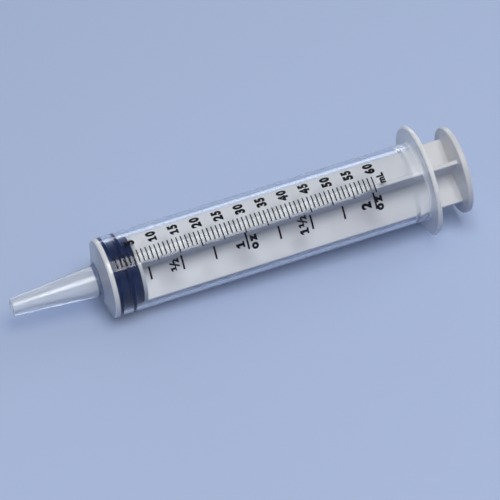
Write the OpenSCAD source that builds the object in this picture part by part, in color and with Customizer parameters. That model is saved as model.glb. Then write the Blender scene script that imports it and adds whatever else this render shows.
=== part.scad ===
// Catheter tip syringe for 60 mL, lying along +X.
// The origin is the centre of the tip's mouth. Lengths are in millimetres and angles in degrees.
// Angles round the barrel turn about +X and start at +Y.

/* [Barrel] */
// Inside diameter of the barrel
bore_d = 27.4; // [24:0.1:30]
// Thickness of the barrel's wall
wall_t = 1.3; // [1:0.05:1.8]
// Thickness of the end wall that carries the tip
end_wall_t = 1.5; // [1.2:0.1:2.4]
// Height of the shallow cone that the end wall forms
end_cone_h = 2.6; // [1.4:0.1:3.2]
// Radius of the rounded edge round the end wall
front_edge_r = 0.8; // [0.4:0.1:1.2]
// Radius of the corner where the end wall meets the bore
front_corner_r = 0.5; // [0.3:0.1:0.8]
// Height of the ring inside the open end that keeps the stopper in
bead_h = 0.25; // [0.2:0.05:0.6]
// Length of that ring along the barrel
bead_l = 3.2; // [2:0.1:4]
// Distance from that ring's middle to the open end
bead_inset = 6; // [4:0.5:8]
// Width of the lead-in at the open end
lead_in = 0.6; // [0.3:0.1:0.9]

/* [Catheter tip] */
// Length of the tapered tip, from its mouth to the end wall
tip_l = 32.6; // [26:0.2:38]
// Outside diameter of the tip at its mouth
tip_mouth_d = 6.8; // [6:0.1:7.5]
// Outside diameter of the tip at the end wall
tip_base_d = 12.2; // [10.5:0.1:13.5]
// Diameter of the channel at the mouth
tip_bore_d = 3.6; // [3:0.1:4.4]
// Length of the channel's straight stretch behind the mouth
tip_bore_l = 8; // [5:0.5:12]
// Diameter of the channel where it opens into the barrel
tip_bore_base_d = 8; // [6.5:0.1:9]
// Radius of the rounded outer edge of the mouth
tip_lip_r = 0.5; // [0.2:0.05:0.6]
// Radius of the fillet where the tip leaves the end wall
tip_root_r = 1.4; // [0.8:0.1:2]

/* [Finger flange] */
// Distance that the flange stands out from the barrel
flange_w = 6.1; // [4.5:0.1:7.5]
// Thickness of the flange
flange_t = 1.8; // [1.5:0.1:2.6]
// Radius of the flange's rounded edge
flange_edge_r = 0.7; // [0.3:0.05:0.75]
// Radius of the fillet between the flange and the barrel
flange_root_r = 1; // [0.5:0.1:1.5]
// Length of the barrel between the end of the scale and the flange
scale_end_l = 19.7; // [14:0.1:26]

/* [Stopper] */
// Length of the stopper at its edge
stopper_l = 9.6; // [9:0.1:12]
// Width of a sealing rib at its crest
rib_w = 1.3; // [1:0.1:1.8]
// Height of a sealing rib over the body between the ribs
rib_h = 1.05; // [0.7:0.05:1.4]
// Distance from one sealing rib to the next
rib_pitch = 5; // [4.2:0.1:5.2]
// Width of the sloped side of a rib
rib_flank_w = 0.45; // [0.2:0.05:0.6]
// Diameter of the stopper's flat nose, in front of its cone
nose_d = 8.6; // [7.5:0.1:10]

/* [Plunger rod] */
// Thickness of the four vanes
vane_t = 1.8; // [1:0.05:2.2]
// Radius of the fillet where two vanes meet
vane_root_r = 1; // [0.5:0.1:2]
// Turn of the first vane from the direction in which the scale is read
vane_turn = -11; // [-30:1:30]
// Thickness of the disc behind the stopper
front_disc_t = 1.4; // [1:0.1:2]
// Diameter of the thumb disc
thumb_d = 33.2; // [31:0.1:38]
// Thickness of the thumb disc
thumb_t = 2.2; // [1.8:0.1:3]
// Radius of the thumb disc's rounded edge
thumb_edge_r = 0.6; // [0.3:0.05:0.8]
// Width of the thumb disc's raised rim
thumb_rim_w = 2.2; // [1.6:0.1:3]
// Depth of the hollow inside that rim
thumb_dish_h = 0.5; // [0.3:0.05:0.7]
// Height of the grip rings in the hollow
grip_ring_h = 0.35; // [0.2:0.05:0.5]
// Distance between two grip rings
grip_ring_pitch = 3.6; // [3:0.1:4]
// Free space between the flange and the thumb disc when the plunger is in
thumb_gap = 12; // [8:0.1:16]
// Diameter of the neck that holds the snap head
neck_d = 8; // [7:0.1:9]
// Length of the neck inside the stopper's lip
neck_l = 2.4; // [2:0.1:2.8]
// Diameter of the snap head
head_d = 12.4; // [11.4:0.1:13.4]
// Length of the snap head's round collar
head_l = 1.4; // [1:0.1:1.6]
// Length of the snap head's lead-in cone
head_cone_l = 1.6; // [1.2:0.1:1.8]

/* [Fits] */
// Radial gap between a sealing rib and the bore
seal_gap = 0.03; // [0.02:0.005:0.05]
// Gap between the stopper's nose and the end wall when the plunger is in
nose_gap = 0.3; // [0.2:0.05:0.6]
// Radial gap between the vanes and the bore
vane_gap = 1.1; // [1:0.05:1.6]
// Radial gap between the disc behind the stopper and the bore
disc_gap = 1.1; // [0.8:0.05:2]
// Radial gap between the snap head and its socket
snap_gap = 0.08; // [0.04:0.01:0.1]
// Gap along the axis between the rod and the stopper
turn_gap = 0.12; // [0.08:0.01:0.2]

/* [Printed scale] */
// Length of the scale, which holds 60 mL in a 27.4 mm bore
scale_l = 101.76; // [90:0.01:115]
// Distance from the stopper's edge to the scale's zero
scale_zero_l = 0.4; // [0.2:0.1:0.8]
// Thickness of the printed ink
ink_t = 0.05; // [0.03:0.01:0.08]
// Width of a millilitre mark
ml_mark_w = 0.46; // [0.3:0.01:0.6]
// Width of an ounce mark
ounce_mark_w = 0.72; // [0.5:0.01:0.9]

/* [Hidden] */
$fn = 96;

// Straight pieces in each rounded corner of a profile
corner_steps = 6;
// Overrun of parts that run into each other
overrun = 0.2;
// Smallest radius on moulded edges
small_r = 0.2;
// Smallest radius on the rubber's edges
rubber_r = 0.3;

// Direction in which the scale is read
reading_deg = 130;
// Number of millilitre marks, and how many apart the long ones are
ml_count = 60;
ml_long_every = 5;
// Where the millilitre marks start and end, from the reading direction
ml_mark_start_deg = 25.5;
ml_short_end_deg = 6.5;
ml_long_end_deg = 2;
// Number of ounce marks, four to the ounce, and where they start and end
oz_count = 8;
oz_per_whole = 4;
oz_quarter_start_deg = -2.5;
oz_half_start_deg = -1;
oz_whole_start_deg = 3;
oz_mark_end_deg = -21.5;
// Share of the scale that one fluid ounce takes, 29.5735 mL of 60 mL
ounce_share = 0.492892;

bore_r = bore_d / 2;
barrel_r = bore_r + wall_t;
flange_r = barrel_r + flange_w;
tip_mouth_r = tip_mouth_d / 2;
tip_base_r = tip_base_d / 2;
tip_bore_r = tip_bore_d / 2;
tip_bore_base_r = tip_bore_base_d / 2;

// Slope of the end wall's cone, the same outside, inside and on the stopper's nose
end_slope = end_cone_h / (barrel_r - tip_base_r);

// Places along the axis, from the mouth of the tip backwards
rim_x = tip_l + end_cone_h;
chamber_x = rim_x + end_wall_t;
stopper_x = chamber_x + nose_gap;
scale_zero_x = stopper_x + scale_zero_l;
stopper_end_x = stopper_x + stopper_l;
flange_x = scale_zero_x + scale_l + scale_end_l;
barrel_end_x = flange_x + flange_t;
bead_x = barrel_end_x - bead_inset;
rod_x = stopper_end_x + turn_gap;
thumb_x = barrel_end_x + thumb_gap;
thumb_end_x = thumb_x + thumb_t;

// The stopper and the snap joint
rib_r = bore_r - seal_gap;
land_r = rib_r - rib_h;
nose_r = nose_d / 2;
neck_r = neck_d / 2;
head_r = head_d / 2;

// The plunger rod
vane_r = bore_r - vane_gap;
vane_edge_r = vane_t / 4;
front_disc_r = bore_r - disc_gap;
thumb_r = thumb_d / 2;
grip_ring_count = 3;

// Unit vector along v
function unit(v) = v / norm(v);

// Arc of radius r that rounds the corner b between a and c, as a list of points
function corner(a, b, c, r) =
    let (
        to_a = unit(a - b),
        to_c = unit(c - b),
        half = acos(to_a * to_c) / 2,
        centre = b + unit(to_a + to_c) * r / sin(half),
        from = b + to_a * r / tan(half) - centre,
        to = b + to_c * r / tan(half) - centre,
        start = atan2(from[1], from[0]),
        turn = atan2(cross(from, to), from * to)
    )
    [for (i = [0:corner_steps]) centre + r * [cos(start + turn * i / corner_steps),
                                              sin(start + turn * i / corner_steps)]];

// Outline through points [x, y, corner radius]; a radius of 0 keeps the corner sharp
function rounded(p) =
    let (n = len(p))
    [for (i = [0:n - 1])
        let (
            a = p[(i + n - 1) % n],
            b = p[i],
            c = p[(i + 1) % n]
        )
        for (q = b[2] > 0 ? corner([a[0], a[1]], [b[0], b[1]], [c[0], c[1]], b[2]) : [[b[0], b[1]]]) q];

// The outline [place along the axis, distance from it] turned round the axis
module turned(p) {
    rotate([90, 0, 90])
        rotate_extrude()
            polygon([for (q = rounded(p)) [q[1], q[0]]]);
}

// A flat outline in the plane across the axis, extruded along it
module extruded(x0, x1) {
    translate([x0, 0, 0])
        rotate([90, 0, 90])
            linear_extrude(height = x1 - x0)
                children();
}

// Barrel, tip, end wall and finger flange, moulded in one
module barrel() {
    inner_cone_h = end_slope * (bore_r - tip_bore_base_r);
    color([0.78, 0.85, 0.95, 0.45])
        turned([
            [0, tip_bore_r, 0],
            [0, tip_mouth_r, tip_lip_r],
            [tip_l, tip_base_r, tip_root_r],
            [rim_x, barrel_r, front_edge_r],
            [flange_x, barrel_r, flange_root_r],
            [flange_x, flange_r, flange_edge_r],
            [barrel_end_x, flange_r, flange_edge_r],
            [barrel_end_x, bore_r + lead_in, small_r],
            [barrel_end_x - lead_in, bore_r, 0],
            [bead_x + bead_l / 2, bore_r, 0],
            [bead_x, bore_r - bead_h, small_r],
            [bead_x - bead_l / 2, bore_r, 0],
            [chamber_x, bore_r, front_corner_r],
            [chamber_x - inner_cone_h, tip_bore_base_r, small_r],
            [tip_bore_l, tip_bore_r, 0]
        ]);
}

// Rubber stopper with two sealing ribs, a shallow cone for a nose and a socket for the snap head
module stopper() {
    nose_h = end_slope * (rib_r - nose_r);
    second_x = stopper_x + rib_pitch;
    mouth_x = stopper_end_x - neck_l;
    socket_x = mouth_x - head_l - 2 * turn_gap;
    socket_end_x = socket_x - head_cone_l;
    color([0.06, 0.08, 0.2])
        turned([
            [stopper_x - nose_h, 0, 0],
            [stopper_x - nose_h, nose_r, rubber_r],
            [stopper_x, rib_r, rubber_r],
            [stopper_x + rib_w, rib_r, rubber_r],
            [stopper_x + rib_w + rib_flank_w, land_r, rubber_r],
            [second_x - rib_flank_w, land_r, rubber_r],
            [second_x, rib_r, rubber_r],
            [second_x + rib_w, rib_r, rubber_r],
            [second_x + rib_w + rib_flank_w, land_r, rubber_r],
            [stopper_end_x, land_r, rubber_r],
            [stopper_end_x, neck_r + snap_gap, small_r],
            [mouth_x, neck_r + snap_gap, small_r],
            [mouth_x, head_r + snap_gap, small_r],
            [socket_x, head_r + snap_gap, small_r],
            [socket_end_x, neck_r + snap_gap, small_r],
            [socket_end_x, 0, 0]
        ]);
}

// Corners of the cross section of the four vanes
function vane_corners() =
    [for (turn = [0, 90, 180, 270])
        for (p = [[vane_r, -vane_t / 2, vane_edge_r],
                  [vane_r, vane_t / 2, vane_edge_r],
                  [vane_t / 2, vane_t / 2, vane_root_r]])
            [p[0] * cos(turn) - p[1] * sin(turn), p[0] * sin(turn) + p[1] * cos(turn), p[2]]];

// Plunger rod with its vanes, front disc, snap head and thumb disc, moulded in one
module plunger_rod() {
    neck_x = stopper_end_x - neck_l - turn_gap;
    head_x = neck_x - head_l;
    head_end_x = head_x - head_cone_l;
    color([0.93, 0.93, 0.94])
        union() {
            turned([
                [head_end_x, 0, 0],
                [head_end_x, neck_r, small_r],
                [head_x, head_r, small_r],
                [neck_x, head_r, small_r],
                [neck_x, neck_r, small_r],
                [rod_x, neck_r, small_r],
                [rod_x, front_disc_r, small_r],
                [rod_x + front_disc_t, front_disc_r, small_r],
                [rod_x + front_disc_t, 0, 0]
            ]);
            extruded(rod_x + front_disc_t - overrun, thumb_x + overrun)
                rotate(reading_deg + vane_turn)
                    polygon(rounded(vane_corners()));
            turned([
                [thumb_x, 0, 0],
                [thumb_x, thumb_r, thumb_edge_r],
                [thumb_end_x, thumb_r, thumb_edge_r],
                [thumb_end_x, thumb_r - thumb_rim_w, small_r],
                [thumb_end_x - thumb_dish_h, thumb_r - thumb_rim_w - thumb_dish_h, small_r],
                [thumb_end_x - thumb_dish_h, 0, 0]
            ]);
            for (i = [1:grip_ring_count])
                grip_ring(i * grip_ring_pitch);
        }
}

// One raised ring of radius r in the hollow of the thumb disc
module grip_ring(r) {
    floor_x = thumb_end_x - thumb_dish_h;
    turned([
        [floor_x - overrun, r - grip_ring_h, 0],
        [floor_x, r - grip_ring_h, 0],
        [floor_x + grip_ring_h, r, small_r / 2],
        [floor_x, r + grip_ring_h, 0],
        [floor_x - overrun, r + grip_ring_h, 0]
    ]);
}

// One printed mark across the scale at x, from start to end round the reading direction
module mark(x, w, start, end) {
    translate([x - w / 2, 0, 0])
        rotate([90, 0, 90])
            rotate(reading_deg - start)
                rotate_extrude(angle = start - end)
                    translate([barrel_r, 0])
                        square([ink_t, w]);
}

// One mark for each millilitre, longer at every fifth
module ml_graduations() {
    color([0.05, 0.05, 0.06])
        for (i = [1:ml_count])
            mark(scale_zero_x + scale_l * i / ml_count, ml_mark_w, ml_mark_start_deg,
                 i % ml_long_every == 0 ? ml_long_end_deg : ml_short_end_deg);
}

// One mark for each quarter of a fluid ounce
module ounce_graduations() {
    color([0.05, 0.05, 0.06])
        for (i = [1:oz_count])
            mark(scale_zero_x + scale_l * ounce_share * i / oz_per_whole, ounce_mark_w,
                 i % oz_per_whole == 0 ? oz_whole_start_deg
                                       : i % 2 == 0 ? oz_half_start_deg : oz_quarter_start_deg,
                 oz_mark_end_deg);
}

barrel();
stopper();
plunger_rod();
ml_graduations();
ounce_graduations();
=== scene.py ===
from math import acos, atan2, ceil, cos, pi, radians, sin, tan

import bmesh
import bpy
from mathutils import Matrix, Vector


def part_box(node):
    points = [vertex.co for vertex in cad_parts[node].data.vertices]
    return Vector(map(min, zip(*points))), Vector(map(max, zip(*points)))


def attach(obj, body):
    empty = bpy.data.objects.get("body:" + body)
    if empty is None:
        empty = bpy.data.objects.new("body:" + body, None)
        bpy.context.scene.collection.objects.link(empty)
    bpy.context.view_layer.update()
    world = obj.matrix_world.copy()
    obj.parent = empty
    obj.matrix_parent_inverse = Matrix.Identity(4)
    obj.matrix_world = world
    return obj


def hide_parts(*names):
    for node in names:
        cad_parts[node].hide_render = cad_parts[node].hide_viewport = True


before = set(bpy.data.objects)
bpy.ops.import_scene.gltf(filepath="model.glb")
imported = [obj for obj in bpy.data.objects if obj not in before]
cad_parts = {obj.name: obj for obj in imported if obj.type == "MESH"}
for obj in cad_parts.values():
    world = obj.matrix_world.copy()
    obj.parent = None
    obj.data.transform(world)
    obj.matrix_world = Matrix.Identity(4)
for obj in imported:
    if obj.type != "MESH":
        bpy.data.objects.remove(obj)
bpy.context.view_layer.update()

# The syringe lies along +X. Lengths here are in millimetres, and MM turns them into metres.
MM = 0.001

# Places and radii read from the frame
BARREL_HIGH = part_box("barrel")[1] / MM
STOPPER_LOW, STOPPER_HIGH = (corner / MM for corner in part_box("stopper"))
ROD_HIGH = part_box("plunger_rod")[1] / MM
BARREL_END = BARREL_HIGH.x
FLANGE_R = BARREL_HIGH.z
STOPPER_END = STOPPER_HIGH.x
THUMB_END = ROD_HIGH.x
THUMB_R = ROD_HIGH.z

# Barrel
BORE_R = 13.7
BARREL_R = 15.0
END_WALL_T = 1.5
END_CONE_H = 2.6
FRONT_EDGE_R = 0.8
FRONT_CORNER_R = 0.5
BEAD_H = 0.25
BEAD_L = 3.2
BEAD_INSET = 6.0
LEAD_IN = 0.6
FLANGE_T = 1.8
FLANGE_EDGE_R = 0.7
FLANGE_ROOT_R = 1.0

# Catheter tip
TIP_L = 32.6
TIP_MOUTH_R = 3.4
TIP_BASE_R = 6.1
TIP_BORE_R = 1.8
TIP_BORE_L = 8.0
TIP_BORE_BASE_R = 4.0
TIP_LIP_R = 0.5
TIP_ROOT_R = 1.4
# Width of the ring round the tip's root, tinted dark as painted shade where the tip meets the face
TIP_ROOT_W = 1.6

# Stopper
STOPPER_L = 9.6
RIB_W = 1.3
RIB_H = 1.05
RIB_PITCH = 5.0
RIB_FLANK = 0.45
NOSE_R = 4.3
RUBBER_R = 0.3
SEAL_GAP = 0.03
SNAP_GAP = 0.08
TURN_GAP = 0.12
# The ribs are squeezed against the bore and touch it all round
RIB_SQUEEZE = 0.02

# Plunger rod
VANE_R = 12.6
VANE_T = 1.8
VANE_ROOT_R = 1.0
VANE_TURN_DEG = -11.0
VANE_END_FILLET = 0.5
VANE_CORNER_STEPS = 6
# Shading of the vanes: edges past this angle stay sharp, and large faces weigh the most
VANE_SHARP_DEG = 30
VANE_FACE_WEIGHT = 100
FRONT_DISC_R = 12.6
FRONT_DISC_T = 1.4
NECK_R = 4.0
NECK_L = 2.4
HEAD_R = 6.2
HEAD_L = 1.4
HEAD_CONE_L = 1.6
THUMB_T = 2.2
THUMB_EDGE_R = 0.6
THUMB_RIM_W = 2.2
THUMB_DISH_H = 0.5
GRIP_RING_H = 0.35
GRIP_RING_PITCH = 3.6
GRIP_RING_COUNT = 3
SMALL_R = 0.2

# Printed scale
READING_DEG = 130.0
SCALE_L = 101.76
SCALE_ZERO_L = 0.4
ML_COUNT = 60
ML_LABEL_EVERY = 5
INK_T = 0.05
INK_LIFT = 0.004

# Derived places along the axis
RIM_X = TIP_L + END_CONE_H
CHAMBER_X = RIM_X + END_WALL_T
STOPPER_X = STOPPER_END - STOPPER_L
SCALE_ZERO_X = STOPPER_X + SCALE_ZERO_L
FLANGE_X = BARREL_END - FLANGE_T
BEAD_X = BARREL_END - BEAD_INSET
THUMB_X = THUMB_END - THUMB_T
END_SLOPE = END_CONE_H / (BARREL_R - TIP_BASE_R)

# Fineness of the turned pieces. Points that agree to POINT_DIGITS decimals are one, and a point
# nearer to the axis than ON_AXIS_R lies on it.
TURN_STEPS = 240
CORNER_STEPS = 7
POINT_DIGITS = 6
ON_AXIS_R = 1e-6


# Outlines and turned meshes

def rounded_sides(corners, closed):
    """Sides of an outline of corners (x, distance from the axis, corner radius, finish).

    Each side is (start, start normal, end, end normal, finish). The outside is on the left of
    the way from corner to corner, and a rounded corner takes the finish of the side after it.
    """
    count = len(corners)
    points = [Vector(corner[:2]) for corner in corners]
    starts, ends, arcs = [], [], []
    for i, (x, r, radius, finish) in enumerate(corners):
        here = points[i]
        before = points[i - 1]
        after = points[(i + 1) % count]
        if radius == 0 or (not closed and i in (0, count - 1)):
            ends.append(here)
            starts.append(here)
            arcs.append([])
            continue
        to_before = (before - here).normalized()
        to_after = (after - here).normalized()
        half = acos(max(-1, min(1, to_before.dot(to_after)))) / 2
        centre = here + (to_before + to_after).normalized() * radius / sin(half)
        first = here + to_before * radius / tan(half) - centre
        last = here + to_after * radius / tan(half) - centre
        turn = atan2(first.x * last.y - first.y * last.x, first.dot(last))
        bulge = 1 if turn < 0 else -1
        spokes = [Matrix.Rotation(turn * step / CORNER_STEPS, 2) @ first
                  for step in range(CORNER_STEPS + 1)]
        arcs.append([(centre + a, a.normalized() * bulge, centre + b, b.normalized() * bulge, finish)
                     for a, b in zip(spokes, spokes[1:])])
        ends.append(centre + first)
        starts.append(centre + last)
    sides = []
    for i, corner in enumerate(corners):
        sides += arcs[i]
        if i == count - 1 and not closed:
            break
        start, end = starts[i], ends[(i + 1) % count]
        along = (end - start).normalized()
        normal = Vector((-along.y, along.x))
        sides.append((start, normal, end, normal, corner[3]))
    return sides


def finish_mesh(name, mesh, materials, body, replaced=()):
    """Make the piece from its mesh, with its materials and body, and hide the nodes it replaces."""
    piece = bpy.data.objects.new(name, mesh)
    bpy.context.scene.collection.objects.link(piece)
    for material in materials:
        mesh.materials.append(material)
    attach(piece, body)
    if replaced:
        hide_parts(*replaced)
    return piece


def turned_mesh(name, corners, closed=False):
    """Mesh of an outline turned round the axis, with the exact normals of its sides and corners."""
    verts, faces, normals, finishes = [], [], [], []
    index = {}
    for start, start_normal, end, end_normal, finish in rounded_sides(corners, closed):
        rings = []
        for point in (start, end):
            key = (round(point.x, POINT_DIGITS), round(point.y, POINT_DIGITS))
            if key not in index:
                on_axis = point.y < ON_AXIS_R
                index[key] = (len(verts), on_axis)
                for step in range(1 if on_axis else TURN_STEPS):
                    angle = 2 * pi * step / TURN_STEPS
                    verts.append(Vector((point.x, point.y * cos(angle), point.y * sin(angle))) * MM)
            rings.append(index[key])
        for step in range(TURN_STEPS):
            corners_round = []
            for (first, on_axis), normal, steps in (
                    (rings[0], start_normal, (step, step + 1)),
                    (rings[1], end_normal, (step + 1, step))):
                if on_axis:
                    steps = (step + 0.5,)
                for at in steps:
                    angle = 2 * pi * at / TURN_STEPS
                    vert = first if on_axis else first + at % TURN_STEPS
                    corners_round.append((vert, Vector((normal.x, normal.y * cos(angle),
                                                        normal.y * sin(angle)))))
            faces.append([vert for vert, normal in corners_round])
            normals += [normal for vert, normal in corners_round]
            finishes.append(finish)
    mesh = bpy.data.meshes.new(name)
    mesh.from_pydata(verts, [], faces)
    mesh.polygons.foreach_set("material_index", finishes)
    mesh.polygons.foreach_set("use_smooth", [True] * len(faces))
    mesh.normals_split_custom_set(normals)
    return mesh


# Materials

# Most of a noise lies between these two values
NOISE_LOW = 0.3
NOISE_HIGH = 0.7
# Features to the metre in the noise of the tone, of the gloss and of the fine grain
TONE_NOISE = 130
CLEAR_GLOSS_NOISE = 240
GLOSS_NOISE = 500
GRAIN_NOISE = 1400
NOISE_DETAIL = 3.0
PLASTIC_IOR = 1.49
# The mix node's sockets for its two colours and for the mixed one
COLOR_A, COLOR_B, COLOR_MIXED = 6, 7, 2


def new_material(name):
    """An empty node material with its output."""
    material = bpy.data.materials.new(name)
    material.use_nodes = True
    nodes = material.node_tree.nodes
    nodes.clear()
    return material, nodes, material.node_tree.links, nodes.new("ShaderNodeOutputMaterial")


def noise(nodes, links, scale):
    """Noise over the object's own coordinates, with features of 1 / scale metres."""
    place = nodes.new("ShaderNodeTexCoord")
    texture = nodes.new("ShaderNodeTexNoise")
    texture.inputs["Scale"].default_value = scale
    texture.inputs["Detail"].default_value = NOISE_DETAIL
    links.new(place.outputs["Object"], texture.inputs["Vector"])
    return texture.outputs["Fac"]


def between(nodes, links, value, low, high):
    """The noise's value stretched to run from low to high."""
    stretch = nodes.new("ShaderNodeMapRange")
    stretch.inputs["From Min"].default_value = NOISE_LOW
    stretch.inputs["From Max"].default_value = NOISE_HIGH
    stretch.inputs["To Min"].default_value = low
    stretch.inputs["To Max"].default_value = high
    links.new(value, stretch.inputs["Value"])
    return stretch.outputs["Result"]


def smooth_rise(nodes, links, value, start, end):
    """0 up to the start and 1 from the end on, with a smooth rise between them."""
    rise = nodes.new("ShaderNodeMapRange")
    rise.interpolation_type = "SMOOTHSTEP"
    rise.inputs["From Min"].default_value = start
    rise.inputs["From Max"].default_value = end
    links.new(value, rise.inputs["Value"])
    return rise.outputs["Result"]


def combine(nodes, links, operation, first, second):
    """The result of a math node with two linked values."""
    node = nodes.new("ShaderNodeMath")
    node.operation = operation
    links.new(first, node.inputs[0])
    links.new(second, node.inputs[1])
    return node.outputs["Value"]


def bump(nodes, links, height, depth_mm):
    """Bump of the given depth from a height between 0 and 1."""
    node = nodes.new("ShaderNodeBump")
    node.inputs["Distance"].default_value = depth_mm * MM
    links.new(height, node.inputs["Height"])
    return node.outputs["Normal"]


def mixed_color(nodes, links, share, color_a, color_b):
    """The first colour where the share is 0, the second where it is 1."""
    mix = nodes.new("ShaderNodeMix")
    mix.data_type = "RGBA"
    mix.inputs[COLOR_A].default_value = (*color_a, 1)
    mix.inputs[COLOR_B].default_value = (*color_b, 1)
    links.new(share, mix.inputs["Factor"])
    return mix.outputs[COLOR_MIXED]


def show_mixed(nodes, links, share, shader_a, shader_b, output):
    """Show the first shader where the share is 0 and the second where it is 1."""
    mix = nodes.new("ShaderNodeMixShader")
    links.new(share, mix.inputs["Fac"])
    links.new(shader_a, mix.inputs[1])
    links.new(shader_b, mix.inputs[2])
    links.new(mix.outputs["Shader"], output.inputs["Surface"])


def ray_is(nodes, links, *kinds):
    """1 for rays of the given kinds and 0 for all others."""
    path = nodes.new("ShaderNodeLightPath")
    total = path.outputs[f"Is {kinds[0]} Ray"]
    for kind in kinds[1:]:
        total = combine(nodes, links, "MAXIMUM", total, path.outputs[f"Is {kind} Ray"])
    return total


def clear_plastic(name, transmission, roughness, color, shadow, milk_depth=0.0, glare=1.0):
    """Clear or milky moulded polypropylene.

    Lamplight and bounced light pass straight through it, tinted by the shadow colour. milk_depth
    is how far light wanders inside in millimetres, and glare the strength of the reflections.
    """
    material, nodes, links, output = new_material(name)
    shader = nodes.new("ShaderNodeBsdfPrincipled")
    shader.inputs["Base Color"].default_value = (*color, 1)
    shader.inputs["Transmission Weight"].default_value = transmission
    shader.inputs["IOR"].default_value = PLASTIC_IOR
    shader.inputs["Specular Tint"].default_value = (glare, glare, glare, 1)
    shader.inputs["Subsurface Weight"].default_value = 1.0 if milk_depth else 0.0
    shader.inputs["Subsurface Radius"].default_value = (1.0, 1.0, 1.0)
    shader.inputs["Subsurface Scale"].default_value = milk_depth * MM
    gloss = between(nodes, links, noise(nodes, links, CLEAR_GLOSS_NOISE), *roughness)
    links.new(gloss, shader.inputs["Roughness"])
    light_through = nodes.new("ShaderNodeBsdfTransparent")
    light_through.inputs["Color"].default_value = (*shadow, 1)
    show_mixed(nodes, links, ray_is(nodes, links, "Shadow", "Diffuse"),
               shader.outputs["BSDF"], light_through.outputs["BSDF"], output)
    return material


def opaque_plastic(name, color, shade, roughness, grain_mm, specular=0.5):
    """Opaque moulded plastic, rubber or ink with a fine grain and a slight change of tone."""
    material, nodes, links, output = new_material(name)
    shader = nodes.new("ShaderNodeBsdfPrincipled")
    shader.inputs["Specular IOR Level"].default_value = specular
    tone = between(nodes, links, noise(nodes, links, TONE_NOISE), 0, 1)
    links.new(mixed_color(nodes, links, tone, shade, color), shader.inputs["Base Color"])
    gloss = between(nodes, links, noise(nodes, links, GLOSS_NOISE), *roughness)
    links.new(gloss, shader.inputs["Roughness"])
    links.new(bump(nodes, links, noise(nodes, links, GRAIN_NOISE), grain_mm), shader.inputs["Normal"])
    links.new(shader.outputs["BSDF"], output.inputs["Surface"])
    return material


WALL = clear_plastic("clear_wall", 0.995, (0.02, 0.03), (0.88, 0.90, 0.925), (0.94, 0.945, 0.955),
                     glare=0.4)
FACE = clear_plastic("milky_face", 0.61, (0.04, 0.06), (0.85, 0.89, 1.0), (0.88, 0.90, 0.96), 2.0)
TIP = clear_plastic("milky_tip", 0.58, (0.08, 0.11), (0.85, 0.89, 1.0), (0.86, 0.88, 0.93), 1.5)
THICK = clear_plastic("milky_rim", 0.12, (0.14, 0.18), (0.94, 0.96, 1.0), (0.80, 0.83, 0.88), 0.5)
FROSTED = clear_plastic("frosted_ring", 0.97, (0.20, 0.25), (0.96, 0.98, 1.0), (0.96, 0.97, 0.98),
                        glare=0.35)
# The ring round the tip's root is tinted dark blue as painted shade, standing in for the dark crescents
# that refraction and reflection give there
ROOT_PAINTED_SHADE = clear_plastic("root_painted_shade", 0.85, (0.04, 0.06), (0.20, 0.26, 0.42), (0.80, 0.83, 0.88))
# The barrel's materials, and the place of each among them
BARREL_FINISHES = (WALL, FACE, TIP, THICK, FROSTED, ROOT_PAINTED_SHADE)
WALL_FINISH, FACE_FINISH, TIP_FINISH, THICK_FINISH, FROSTED_FINISH, ROOT_SHADE_FINISH = range(6)
# The rubber itself is near black; the blue in both its colours is painted reflection of the bluish
# surroundings
RUBBER = opaque_plastic("stopper_rubber", (0.004, 0.018, 0.090), (0.003, 0.013, 0.066),
                        (0.34, 0.42), 0.002, specular=0.2)
ROD = opaque_plastic("rod_plastic", (0.73, 0.73, 0.745), (0.71, 0.71, 0.725), (0.28, 0.34), 0.003)
INK = opaque_plastic("print_ink", (0.004, 0.004, 0.006), (0.007, 0.007, 0.010), (0.5, 0.6), 0.002,
                     specular=0.15)


# Barrel

def make_barrel():
    """Barrel, tip, end wall and finger flange, moulded in one."""
    inner_cone_h = END_SLOPE * (BORE_R - TIP_BORE_BASE_R)
    outline = [
        (0, TIP_BORE_R, 0, THICK_FINISH),
        (0, TIP_MOUTH_R, TIP_LIP_R, TIP_FINISH),
        # The side after the tip's root carries the dark painted shade
        (TIP_L, TIP_BASE_R, TIP_ROOT_R, ROOT_SHADE_FINISH),
        (TIP_L + TIP_ROOT_W * END_SLOPE, TIP_BASE_R + TIP_ROOT_W, 0, FACE_FINISH),
        (RIM_X, BARREL_R, FRONT_EDGE_R, THICK_FINISH),
        (CHAMBER_X, BARREL_R, 0, WALL_FINISH),
        (FLANGE_X, BARREL_R, FLANGE_ROOT_R, FACE_FINISH),
        (FLANGE_X, FLANGE_R, FLANGE_EDGE_R, THICK_FINISH),
        (BARREL_END, FLANGE_R, FLANGE_EDGE_R, THICK_FINISH),
        (BARREL_END, BORE_R + LEAD_IN, SMALL_R, FROSTED_FINISH),
        (BARREL_END - LEAD_IN, BORE_R, 0, FROSTED_FINISH),
        (BEAD_X + BEAD_L / 2, BORE_R, 0, FROSTED_FINISH),
        (BEAD_X, BORE_R - BEAD_H, SMALL_R, FROSTED_FINISH),
        (BEAD_X - BEAD_L / 2, BORE_R, 0, WALL_FINISH),
        (CHAMBER_X, BORE_R, FRONT_CORNER_R, FACE_FINISH),
        (CHAMBER_X - inner_cone_h, TIP_BORE_BASE_R, SMALL_R, TIP_FINISH),
        (TIP_BORE_L, TIP_BORE_R, 0, TIP_FINISH),
    ]
    mesh = turned_mesh("clear_barrel", outline, closed=True)
    finish_mesh("clear_barrel", mesh, BARREL_FINISHES, "barrel", ["barrel"])


# Stopper

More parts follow.
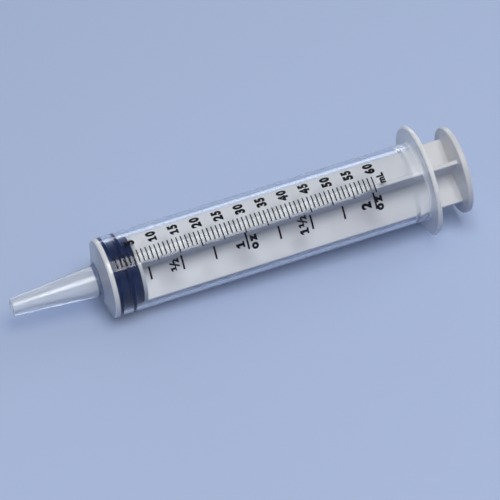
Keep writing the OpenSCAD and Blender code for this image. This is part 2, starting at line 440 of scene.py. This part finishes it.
def make_stopper():
    """Rubber stopper with two ribs that touch the bore, and a socket for the snap head."""
    rib_r = BORE_R + RIB_SQUEEZE
    land_r = BORE_R - SEAL_GAP - RIB_H
    second_x = STOPPER_X + RIB_PITCH
    mouth_x = STOPPER_END - NECK_L
    socket_x = mouth_x - HEAD_L - 2 * TURN_GAP
    socket_end_x = socket_x - HEAD_CONE_L
    outline = [
        (STOPPER_LOW.x, 0, 0, 0),
        (STOPPER_LOW.x, NOSE_R, RUBBER_R, 0),
        (STOPPER_X, rib_r, RUBBER_R, 0),
        (STOPPER_X + RIB_W, rib_r, RUBBER_R, 0),
        (STOPPER_X + RIB_W + RIB_FLANK, land_r, RUBBER_R, 0),
        (second_x - RIB_FLANK, land_r, RUBBER_R, 0),
        (second_x, rib_r, RUBBER_R, 0),
        (second_x + RIB_W, rib_r, RUBBER_R, 0),
        (second_x + RIB_W + RIB_FLANK, land_r, RUBBER_R, 0),
        (STOPPER_END, land_r, RUBBER_R, 0),
        (STOPPER_END, NECK_R + SNAP_GAP, SMALL_R, 0),
        (mouth_x, NECK_R + SNAP_GAP, SMALL_R, 0),
        (mouth_x, HEAD_R + SNAP_GAP, SMALL_R, 0),
        (socket_x, HEAD_R + SNAP_GAP, SMALL_R, 0),
        (socket_end_x, NECK_R + SNAP_GAP, SMALL_R, 0),
        (socket_end_x, 0, 0, 0),
    ]
    mesh = turned_mesh("rubber_stopper", outline)
    finish_mesh("rubber_stopper", mesh, [RUBBER], "stopper", ["stopper"])


# Plunger rod

def vane_section(fillet):
    """Outline of the four vanes, thickened by the given fillet, as points (y, z)."""
    half = VANE_T / 2 + fillet
    edge_r = VANE_T / 4
    steps = VANE_CORNER_STEPS
    points = []
    for turn in range(4):
        quarter = []
        for side in (-1, 1):
            for step in range(steps + 1):
                angle = pi / 2 * step / steps
                if side < 0:
                    bend = Vector((sin(angle), -cos(angle)))
                else:
                    bend = Vector((cos(angle), sin(angle)))
                quarter.append(Vector((VANE_R - edge_r, side * (half - edge_r))) + bend * edge_r)
        root = Vector((half + VANE_ROOT_R, half + VANE_ROOT_R))
        for step in range(steps + 1):
            angle = -pi / 2 - pi / 2 * step / steps
            quarter.append(root + Vector((cos(angle), sin(angle))) * VANE_ROOT_R)
        spin = Matrix.Rotation(radians(READING_DEG + VANE_TURN_DEG) + turn * pi / 2, 2)
        points += [spin @ point for point in quarter]
    return points


def make_vanes():
    """The cross of four vanes, which flares into the discs at both ends."""
    start = STOPPER_END + TURN_GAP + FRONT_DISC_T
    end = THUMB_X
    steps = VANE_CORNER_STEPS
    rows = []
    for step in range(steps + 1):
        angle = pi / 2 * step / steps
        rows.append((VANE_END_FILLET * (1 - sin(angle)), VANE_END_FILLET * (1 - cos(angle))))
    sections = [(start - SMALL_R, VANE_END_FILLET)]
    sections += [(start + far, fillet) for fillet, far in rows]
    sections += [(end - far, fillet) for fillet, far in reversed(rows)]
    sections += [(end + SMALL_R, VANE_END_FILLET)]
    verts, faces = [], []
    for x, fillet in sections:
        verts += [Vector((x, point.x, point.y)) * MM for point in vane_section(fillet)]
    count = len(verts) // len(sections)
    for row in range(len(sections) - 1):
        for i in range(count):
            a = row * count + i
            b = row * count + (i + 1) % count
            faces.append((a, a + count, b + count, b))
    faces.append(tuple(range(count)))
    faces.append(tuple(reversed(range(len(verts) - count, len(verts)))))
    mesh = bpy.data.meshes.new("rod_vanes")
    mesh.from_pydata(verts, [], faces)
    mesh.polygons.foreach_set("use_smooth", [True] * len(faces))
    mesh.set_sharp_from_angle(angle=radians(VANE_SHARP_DEG))
    piece = finish_mesh("rod_vanes", mesh, [ROD], "plunger_rod", ["plunger_rod"])
    weigh = piece.modifiers.new("weigh", "WEIGHTED_NORMAL")
    weigh.keep_sharp = True
    weigh.weight = VANE_FACE_WEIGHT


def make_discs():
    """The rod's front disc with its neck and snap head, and the thumb disc with its grip rings."""
    rod_x = STOPPER_END + TURN_GAP
    neck_x = STOPPER_END - NECK_L - TURN_GAP
    head_x = neck_x - HEAD_L
    head_end_x = head_x - HEAD_CONE_L
    front = [
        (head_end_x, 0, 0, 0),
        (head_end_x, NECK_R, SMALL_R, 0),
        (head_x, HEAD_R, SMALL_R, 0),
        (neck_x, HEAD_R, SMALL_R, 0),
        (neck_x, NECK_R, SMALL_R, 0),
        (rod_x, NECK_R, SMALL_R, 0),
        (rod_x, FRONT_DISC_R, SMALL_R, 0),
        (rod_x + FRONT_DISC_T, FRONT_DISC_R, SMALL_R, 0),
        (rod_x + FRONT_DISC_T, 0, 0, 0),
    ]
    floor_x = THUMB_END - THUMB_DISH_H
    thumb = [
        (THUMB_X, 0, 0, 0),
        (THUMB_X, THUMB_R, THUMB_EDGE_R, 0),
        (THUMB_END, THUMB_R, THUMB_EDGE_R, 0),
        (THUMB_END, THUMB_R - THUMB_RIM_W, SMALL_R, 0),
        (floor_x, THUMB_R - THUMB_RIM_W - THUMB_DISH_H, SMALL_R, 0),
    ]
    for ring in range(GRIP_RING_COUNT, 0, -1):
        ring_r = ring * GRIP_RING_PITCH
        thumb += [
            (floor_x, ring_r + GRIP_RING_H, SMALL_R / 2, 0),
            (floor_x + GRIP_RING_H, ring_r, SMALL_R / 2, 0),
            (floor_x, ring_r - GRIP_RING_H, SMALL_R / 2, 0),
        ]
    thumb.append((floor_x, 0, 0, 0))
    for name, outline in (("rod_front_disc", front), ("rod_thumb_disc", thumb)):
        mesh = turned_mesh(name, outline)
        finish_mesh(name, mesh, [ROD], "plunger_rod", ["plunger_rod"])


# Printed numbers

# Outlines of the figure 1 and the slash, one unit high
DRAWN = {
    "1": ((0, 0.54), (0, 0.80), (0.24, 1.0), (0.50, 1.0), (0.50, 0.21), (0.71, 0.21),
          (0.71, 0), (0, 0), (0, 0.21), (0.21, 0.21), (0.21, 0.70)),
    "/": ((0, -0.03), (0.19, -0.03), (0.65, 1.03), (0.46, 1.03)),
}
# Height of the font's figures in its own units, how far its outlines are thickened, and the
# steps of its curves
FIGURE_H = 0.70
LETTER_BOLD = 0.064
LETTER_CURVE_STEPS = 4
# Gap between letters, in figure heights
LETTER_GAP = 0.09
# Longest flat stretch of a letter round the barrel, and the distance at which its points merge
LETTER_CUT = 0.4
LETTER_MERGE = 1e-5
# A half: the size of its figures, the stretch of the 1, and the places of the slash and the 2
HALF_FIGURE = 0.62
HALF_ONE_WIDE = 1.25
HALF_SLASH_X = 0.33
HALF_TWO_X = 0.76
# Millilitre numbers: height of the figures, share of their usual width, angle of their middle
# from the reading direction, and how far they stand past their mark
ML_HEIGHT = 3.3
ML_WIDTH_SHARE = 0.88
ML_LABEL_DOWN_DEG = -39.5
ML_LABEL_AFTER = 0.4
# The other words: text, place along the barrel from the scale's zero, angle of the middle from
# the reading direction, height of the figures, and share of the usual width
ML_WORDS = (
    ("mL", 105.0, -19.6, 2.5, 0.85),
)
OUNCE_WORDS = (
    ("½", 21.9, 11.4, 3.4, 1.05),
    ("1", 47.3, 12.0, 3.3, 1.0),
    ("oz", 52.7, 13.2, 3.1, 1.0),
    ("1½", 71.8, 12.0, 3.4, 1.0),
    ("2", 96.6, 12.4, 3.3, 1.0),
    ("oz", 101.8, 13.6, 3.1, 1.0),
)


def glyph_curve(letter):
    """Curve of one letter: the figure 1 and the slash are drawn here, the rest is the font's."""
    if letter not in DRAWN:
        curve = bpy.data.curves.new("glyph", "FONT")
        curve.body = letter
        curve.resolution_u = LETTER_CURVE_STEPS
        curve.offset = LETTER_BOLD
        return curve
    curve = bpy.data.curves.new("glyph", "CURVE")
    curve.dimensions = "2D"
    curve.fill_mode = "BOTH"
    outline = curve.splines.new("POLY")
    outline.points.add(len(DRAWN[letter]) - 1)
    outline.use_cyclic_u = True
    for point, (x, y) in zip(outline.points, DRAWN[letter]):
        point.co = (x * FIGURE_H, y * FIGURE_H, 0, 1)
    return curve


def glyph(letter):
    """Mesh of one letter, one unit thick, with its left edge at 0 and the figures 1 unit high."""
    curve = glyph_curve(letter)
    curve.extrude = FIGURE_H / 2
    holder = bpy.data.objects.new("glyph", curve)
    bpy.context.scene.collection.objects.link(holder)
    bpy.context.view_layer.update()
    mesh = bpy.data.meshes.new_from_object(holder.evaluated_get(bpy.context.evaluated_depsgraph_get()))
    bpy.data.objects.remove(holder)
    left = min(vert.co.x for vert in mesh.vertices)
    mesh.transform(Matrix.Scale(1 / FIGURE_H, 4) @ Matrix.Translation((-left, 0, 0)))
    return mesh


def word(text):
    """Form of a word in units of the figures' height; a half is two small figures and a slash."""
    form = bmesh.new()
    pen = 0
    for letter in text:
        if letter == "½":
            small = HALF_FIGURE
            parts = [("1", 0, 1 - small, small * HALF_ONE_WIDE, small), ("/", HALF_SLASH_X, 0, 1, 1),
                     ("2", HALF_TWO_X, 0, small, small)]
        else:
            parts = [(letter, 0, 0, 1, 1)]
        for part, x, y, wide, high in parts:
            mesh = glyph(part)
            mesh.transform(Matrix.Translation((pen + x, y, 0)) @ Matrix.Diagonal((wide, high, 1, 1)))
            form.from_mesh(mesh)
            bpy.data.meshes.remove(mesh)
        pen = max(vert.co.x for vert in form.verts) + LETTER_GAP
    return form


def label(text, x, down_deg, height, width_share):
    """Form of one printed word on the barrel, its top towards the tip.

    x is the middle of the word along the barrel from the scale's zero, down_deg the angle of its
    middle from the reading direction, height the height of its figures, and width_share their
    share of the usual width.
    """
    form = word(text)
    low = Vector([min(vert.co[i] for vert in form.verts) for i in range(3)])
    high = Vector([max(vert.co[i] for vert in form.verts) for i in range(3)])
    middle = (low + high) / 2
    for vert in form.verts:
        place = vert.co - middle
        vert.co = Vector((place.x * height * width_share, place.y * height, place.z * INK_T))
    bmesh.ops.remove_doubles(form, verts=form.verts, dist=LETTER_MERGE)
    half = (high.x - low.x) * height * width_share / 2
    cuts = ceil(2 * half / LETTER_CUT)
    for cut in range(1, cuts):
        bmesh.ops.bisect_plane(form, geom=form.verts[:] + form.edges[:] + form.faces[:],
                               plane_co=(half * (2 * cut / cuts - 1), 0, 0), plane_no=(1, 0, 0))
    for vert in form.verts:
        r = BARREL_R + INK_LIFT + INK_T / 2 + vert.co.z
        angle = radians(READING_DEG + down_deg) - vert.co.x / BARREL_R
        vert.co = Vector((SCALE_ZERO_X + x - vert.co.y, r * cos(angle), r * sin(angle))) * MM
    bmesh.ops.triangulate(form, faces=[face for face in form.faces if len(face.verts) > 4])
    return form


def make_labels(name, labels):
    """One piece with all the words of a scale."""
    whole = bpy.data.meshes.new(name)
    joined = bmesh.new()
    for words in labels:
        form = label(*words)
        form.to_mesh(whole)
        form.free()
        joined.from_mesh(whole)
    joined.to_mesh(whole)
    joined.free()
    whole.polygons.foreach_set("use_smooth", [False] * len(whole.polygons))
    finish_mesh(name, whole, [INK], "barrel")


def make_numbers():
    """Numbers of the millilitre scale and of the fluid ounce scale, with their units."""
    numbers = [(str(n), SCALE_L * n / ML_COUNT + ML_LABEL_AFTER, ML_LABEL_DOWN_DEG, ML_HEIGHT,
                ML_WIDTH_SHARE)
               for n in range(ML_LABEL_EVERY, ML_COUNT + 1, ML_LABEL_EVERY)]
    make_labels("ml_numbers", numbers + list(ML_WORDS))
    make_labels("ounce_numbers", OUNCE_WORDS)


# Stage, lights and camera

# The picture, and the turns of the barrel's axis in it: away from the eye, and up
IMAGE = 500
AXIS_DEPTH = radians(12.0)
AXIS_RISE = radians(17.35)
FOCAL_PIXELS = 3657
CAMERA_DISTANCE = 1332
# Pixel where the scale's zero lies on the barrel's axis
ZERO_PIXEL = (108.65, 277.12)
# Middle of the syringe, which the lamps face
LOOK_AT = Vector((90, 0, 0))

# Half the floor's side, and how far it lies under what it touches
FLOOR_HALF = 1600
FLOOR_GAP = 0.03
# Distances in metres over which the floor runs over into the backdrop
SWEEP = (0.3, 0.9)
# Rays that see the colours of the floor, the backdrop and the ceiling
LOOKING = ("Camera", "Glossy", "Transmission")
FLOOR_COLOR = (0.50, 0.60, 0.84)
BACKDROP_COLOR = (0.38, 0.47, 0.70)
CEILING_COLOR = (0.10, 0.13, 0.22)
# Sines of the elevations where the backdrop ends and the ceiling begins
BACKDROP_TOP = 0.25
CEILING_BOTTOM = 0.6
# What all other rays meet: the floor's colour for the light that it throws back, and the light
# from all round
FLOOR_BOUNCE = (0.18, 0.26, 0.49)
WORLD_COLOR = (0.86, 0.91, 1.0)
WORLD_STRENGTH = 0.21

# The softbox hangs at an angle from the reading direction
SOFTBOX_DOWN_DEG = -23.0
SOFTBOX_ANGLE = radians(READING_DEG + SOFTBOX_DOWN_DEG)
WHITE = (1, 1, 1)
# Lamps: name, direction from the syringe, distance and sides in metres, power in watts, colour
LAMPS = (
    ("back_light", (0.15, 0.95, 0.16), 1.0, (1.0, 0.2), 1.9, (0.90, 0.95, 1.0)),
    ("softbox", (0.074, cos(SOFTBOX_ANGLE), sin(SOFTBOX_ANGLE)), 0.9, (0.40, 0.5), 4.45, WHITE),
    ("tip_fill", (-1.0, -0.25, 0.35), 1.0, (0.5, 0.5), 0.9, WHITE),
    ("thumb_fill", (1.0, 0.1, 0.35), 1.0, (0.5, 0.5), 1.8, WHITE),
)


def floor_material():
    """Plain pale floor, which runs over into the backdrop's colour far from the syringe."""
    material, nodes, links, output = new_material("floor")
    looking = ray_is(nodes, links, *LOOKING)
    shader = nodes.new("ShaderNodeBsdfDiffuse")
    links.new(mixed_color(nodes, links, looking, FLOOR_BOUNCE, FLOOR_COLOR), shader.inputs["Color"])
    sweep = nodes.new("ShaderNodeEmission")
    sweep.inputs["Color"].default_value = (*BACKDROP_COLOR, 1)
    place = nodes.new("ShaderNodeNewGeometry")
    far = nodes.new("ShaderNodeVectorMath")
    far.operation = "DISTANCE"
    far.inputs[1].default_value = LOOK_AT * MM
    links.new(place.outputs["Position"], far.inputs[0])
    rise = smooth_rise(nodes, links, far.outputs["Value"], *SWEEP)
    show_mixed(nodes, links, combine(nodes, links, "MULTIPLY", rise, looking),
               shader.outputs["BSDF"], sweep.outputs["Emission"], output)
    material.cycles.emission_sampling = "NONE"
    return material


def make_floor():
    """The floor leans a little, so that it touches both the flange and the edge of the front."""
    contact_front = Vector((RIM_X + FRONT_EDGE_R, 0, -BARREL_R))
    contact_back = Vector((FLANGE_X + FLANGE_T / 2, 0, -FLANGE_R))
    along = (contact_back - contact_front).normalized()
    across = Vector((0, 1, 0))
    up = along.cross(across)
    centre = contact_front - up * FLOOR_GAP
    corners = [(centre + along * FLOOR_HALF * a + across * FLOOR_HALF * b) * MM
               for a, b in ((-1, -1), (1, -1), (1, 1), (-1, 1))]
    mesh = bpy.data.meshes.new("floor")
    mesh.from_pydata(corners, [], [(0, 1, 2, 3)])
    mesh.materials.append(floor_material())
    floor = bpy.data.objects.new("floor", mesh)
    bpy.context.scene.collection.objects.link(floor)


def make_world():
    """Soft light from all round, with a backdrop and a darker ceiling for the rays that look."""
    world = bpy.data.worlds.new("studio")
    bpy.context.scene.world = world
    world.use_nodes = True
    nodes, links = world.node_tree.nodes, world.node_tree.links
    nodes.clear()
    output = nodes.new("ShaderNodeOutputWorld")
    light = nodes.new("ShaderNodeBackground")
    light.inputs["Color"].default_value = (*WORLD_COLOR, 1)
    light.inputs["Strength"].default_value = WORLD_STRENGTH
    direction = nodes.new("ShaderNodeTexCoord")
    parts = nodes.new("ShaderNodeSeparateXYZ")
    links.new(direction.outputs["Generated"], parts.inputs["Vector"])
    rise = smooth_rise(nodes, links, parts.outputs["Z"], BACKDROP_TOP, CEILING_BOTTOM)
    backdrop = nodes.new("ShaderNodeBackground")
    links.new(mixed_color(nodes, links, rise, BACKDROP_COLOR, CEILING_COLOR), backdrop.inputs["Color"])
    show_mixed(nodes, links, ray_is(nodes, links, *LOOKING),
               light.outputs["Background"], backdrop.outputs["Background"], output)


def add_lamp(name, direction, distance, size, power, color):
    """A rectangular lamp that faces the middle of the syringe, its first side along the barrel."""
    data = bpy.data.lights.new(name, "AREA")
    data.shape = "RECTANGLE"
    data.size, data.size_y = size
    data.energy = power
    data.color = color
    lamp = bpy.data.objects.new(name, data)
    bpy.context.scene.collection.objects.link(lamp)
    lamp.visible_camera = False
    away = Vector(direction).normalized()
    place = LOOK_AT * MM + away * distance
    side = (Vector((1, 0, 0)) - away * away.x).normalized()
    lamp.matrix_world = (Matrix.Translation(place)
                         @ Matrix((side, away.cross(side), away)).transposed().to_4x4())


def make_lamps():
    """A softbox over the print, a long low lamp behind the syringe, and a weak fill at each end."""
    for lamp in LAMPS:
        add_lamp(*lamp)


def make_camera():
    """The photograph's viewpoint, from the turns of the barrel's axis and the zero's pixel.

    seen holds the barrel's axis, the reading direction and their normal as the picture has them,
    and real holds the same three in the part.
    """
    axis = Vector((cos(AXIS_DEPTH) * cos(AXIS_RISE), cos(AXIS_DEPTH) * sin(AXIS_RISE), -sin(AXIS_DEPTH)))
    towards = Vector((0, 0, 1))
    towards = (towards - axis * axis.dot(towards)).normalized()
    seen = Matrix((axis, towards, axis.cross(towards)))
    reading = radians(READING_DEG)
    facing = Vector((0, cos(reading), sin(reading)))
    along = Vector((1, 0, 0))
    real = Matrix((along, facing, along.cross(facing)))
    turn = real.transposed() @ seen
    scale = CAMERA_DISTANCE / FOCAL_PIXELS
    zero = Vector(((ZERO_PIXEL[0] - IMAGE / 2) * scale, (IMAGE / 2 - ZERO_PIXEL[1]) * scale,
                   -CAMERA_DISTANCE))
    data = bpy.data.cameras.new("camera")
    data.lens = FOCAL_PIXELS / IMAGE * data.sensor_width
    camera = bpy.data.objects.new("camera", data)
    bpy.context.scene.collection.objects.link(camera)
    place = Vector((SCALE_ZERO_X, 0, 0)) - turn @ zero
    camera.matrix_world = Matrix.Translation(place * MM) @ turn.to_4x4()
    bpy.context.scene.camera = camera


make_camera()
make_barrel()
make_stopper()
make_vanes()
make_discs()
make_numbers()
# The marks of both scales stay as the CAD has them, and only get their ink
for name in ("ml_graduations", "ounce_graduations"):
    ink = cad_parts[name]
    ink.data.materials.clear()
    ink.data.materials.append(INK)
make_floor()
make_world()
make_lamps()

settings = bpy.context.scene
settings.view_settings.view_transform = "Standard"
settings.cycles.caustics_refractive = False
settings.cycles.caustics_reflective = False
